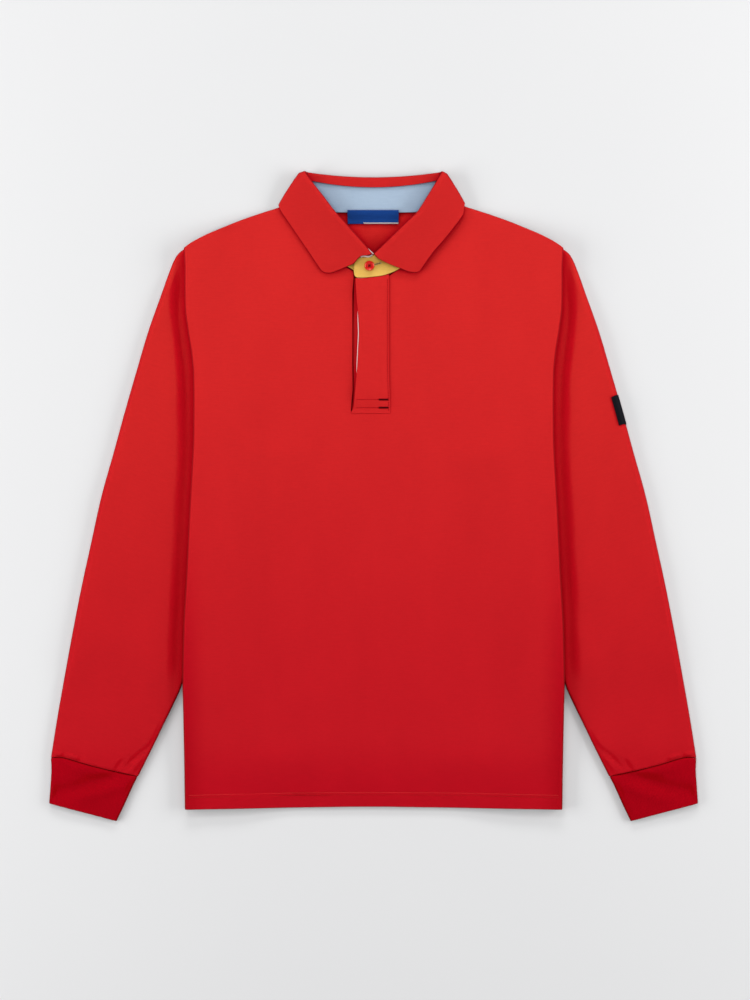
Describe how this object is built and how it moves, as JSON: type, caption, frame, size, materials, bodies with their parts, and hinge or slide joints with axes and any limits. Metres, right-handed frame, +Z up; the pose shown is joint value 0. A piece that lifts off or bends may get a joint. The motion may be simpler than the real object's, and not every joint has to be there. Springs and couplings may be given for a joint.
{
  "type": "long-sleeve polo shirt, laid flat",
  "caption": "Long-sleeve polo shirt laid flat, with a folded collar, buttoned placket, ribbed cuffs and plain labels.",
  "frame": {"origin": "on the surface that the shirt lies on, below the middle of its outline", "axes": "+Z up from the surface to the front of the shirt, +Y from the hem to the collar, +X to the right of someone who looks down on it with the collar away from them"},
  "size_m": [0.766, 0.766, 0.0128],
  "materials": {
    "jersey": "fine cotton jersey, matte",
    "rib": "flat-knit rib, matte",
    "cuff_rib": "stretch rib, matte",
    "neck_band": "woven cotton, light blue",
    "tab": "woven cotton twill, mustard",
    "facing": "woven cotton, white",
    "label": "woven satin label, blue",
    "dark_label": "woven label, near-black",
    "button": "polished, red"
  },
  "bodies": {
    "root": {"front_panel": "jersey", "back_panel": "jersey", "sleeve_left": "jersey", "sleeve_right": "jersey", "cuff_left": "cuff_rib", "cuff_right": "cuff_rib", "collar": "rib", "collar_stand": "neck_band", "stand_over": "tab", "stand_under": "tab", "placket_over": "jersey", "placket_facing": "facing", "placket_under": "jersey", "neck_label": "label", "arm_label": "dark_label", "button": "button"}
  },
  "joints": []
}
